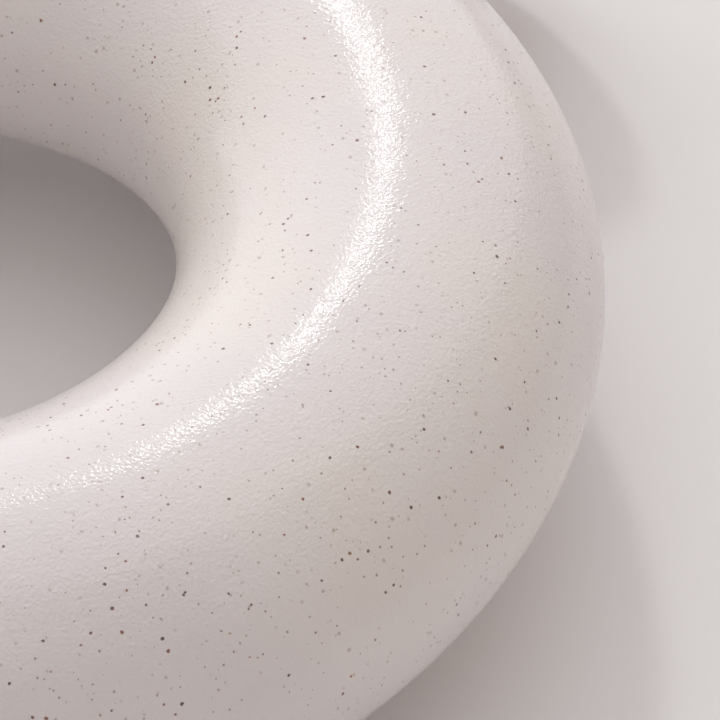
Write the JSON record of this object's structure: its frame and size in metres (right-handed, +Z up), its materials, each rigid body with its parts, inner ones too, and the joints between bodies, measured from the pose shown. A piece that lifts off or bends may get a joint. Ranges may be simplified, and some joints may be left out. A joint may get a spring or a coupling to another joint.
{
  "type": "donut vase",
  "caption": "Upright ring-shaped ceramic vase with a round hole through the middle, a flared neck and an oval foot.",
  "frame": {"origin": "middle of the foot's underside, on the surface that the vase stands on", "axes": "+Z up through the neck, Y from front to back through the hole, X across the ring"},
  "size_m": [0.176, 0.0462, 0.217],
  "materials": {
    "glaze": "satin",
    "bare_stoneware": "matte"
  },
  "bodies": {
    "root": {"ring_front_half": "glaze", "ring_back_half": "glaze", "neck": "glaze", "foot": "glaze"}
  },
  "joints": []
}
